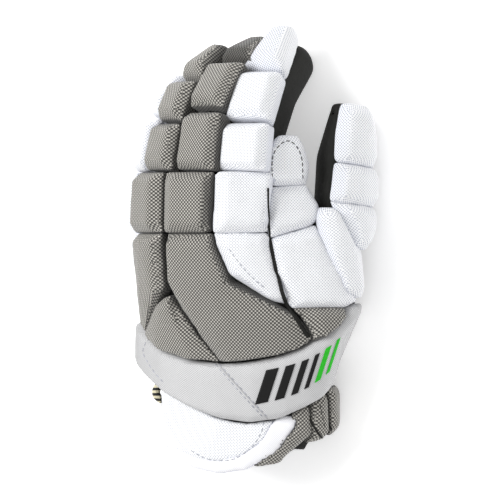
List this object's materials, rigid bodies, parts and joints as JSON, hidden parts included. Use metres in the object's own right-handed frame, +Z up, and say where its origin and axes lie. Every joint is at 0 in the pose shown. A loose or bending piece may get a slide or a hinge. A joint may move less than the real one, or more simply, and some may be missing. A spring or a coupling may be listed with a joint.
{
  "type": "padded lacrosse glove",
  "caption": "Left-hand padded sports glove lying palm down: segmented foam pads on the fingers and back, leather palm, wrist strap and flared cuff flap.",
  "frame": {"origin": "on the table, under the middle of the glove's box", "axes": "+Z up from the table through the back of the hand, +Y from the cuff to the fingertips, +X to the thumb"},
  "size_m": [0.1702, 0.282, 0.0879],
  "materials": {
    "palm_leather": "soft black synthetic leather with a fine grain",
    "liner_knit": "black knitted lining",
    "white_mesh": "coarse white woven nylon over foam",
    "grey_mesh": "coarse grey woven nylon over foam",
    "strap_webbing": "pale grey fine mesh strap with printed bars",
    "binding_tape": "white woven binding tape, stitched",
    "lace": "black lace with cream flecks"
  },
  "bodies": {
    "root": {"cuff_liner": "liner_knit", "palm_shell": "palm_leather", "back_shell": "liner_knit", "thumb_sleeve": "palm_leather", "index_sleeve": "palm_leather", "middle_sleeve": "palm_leather", "ring_sleeve": "palm_leather", "little_sleeve": "palm_leather", "wrist_strap": "strap_webbing", "cuff_flap_binding": "binding_tape", "lace_loop": "lace", "index_base_pad": "white_mesh", "index_mid_pad": "white_mesh", "index_tip_pad": "white_mesh", "little_base_pad": "white_mesh", "little_tip_pad": "white_mesh", "index_knuckle_pad": "white_mesh", "little_knuckle_pad": "white_mesh", "index_back_pad": "white_mesh", "little_back_pad": "white_mesh", "thumb_panel": "white_mesh", "web_mid_pad": "white_mesh", "web_top_pad": "white_mesh", "thumb_base_pad": "white_mesh", "thumb_mid_pad": "white_mesh", "thumb_tip_pad": "white_mesh", "thumb_strip_pad": "white_mesh", "cuff_flap": "white_mesh", "middle_base_pad": "grey_mesh", "middle_mid_pad": "grey_mesh", "middle_tip_pad": "grey_mesh", "ring_base_pad": "grey_mesh", "ring_mid_pad": "grey_mesh", "ring_tip_pad": "grey_mesh", "middle_knuckle_pad": "grey_mesh", "ring_knuckle_pad": "grey_mesh", "main_back_pad": "grey_mesh", "wedge_back_pad": "grey_mesh", "ring_back_pad": "grey_mesh", "thumb_wrist_panel": "grey_mesh", "cuff_side_lobe": "grey_mesh", "cuff_tab_inner": "grey_mesh", "cuff_tab_outer": "grey_mesh"}
  },
  "joints": []
}
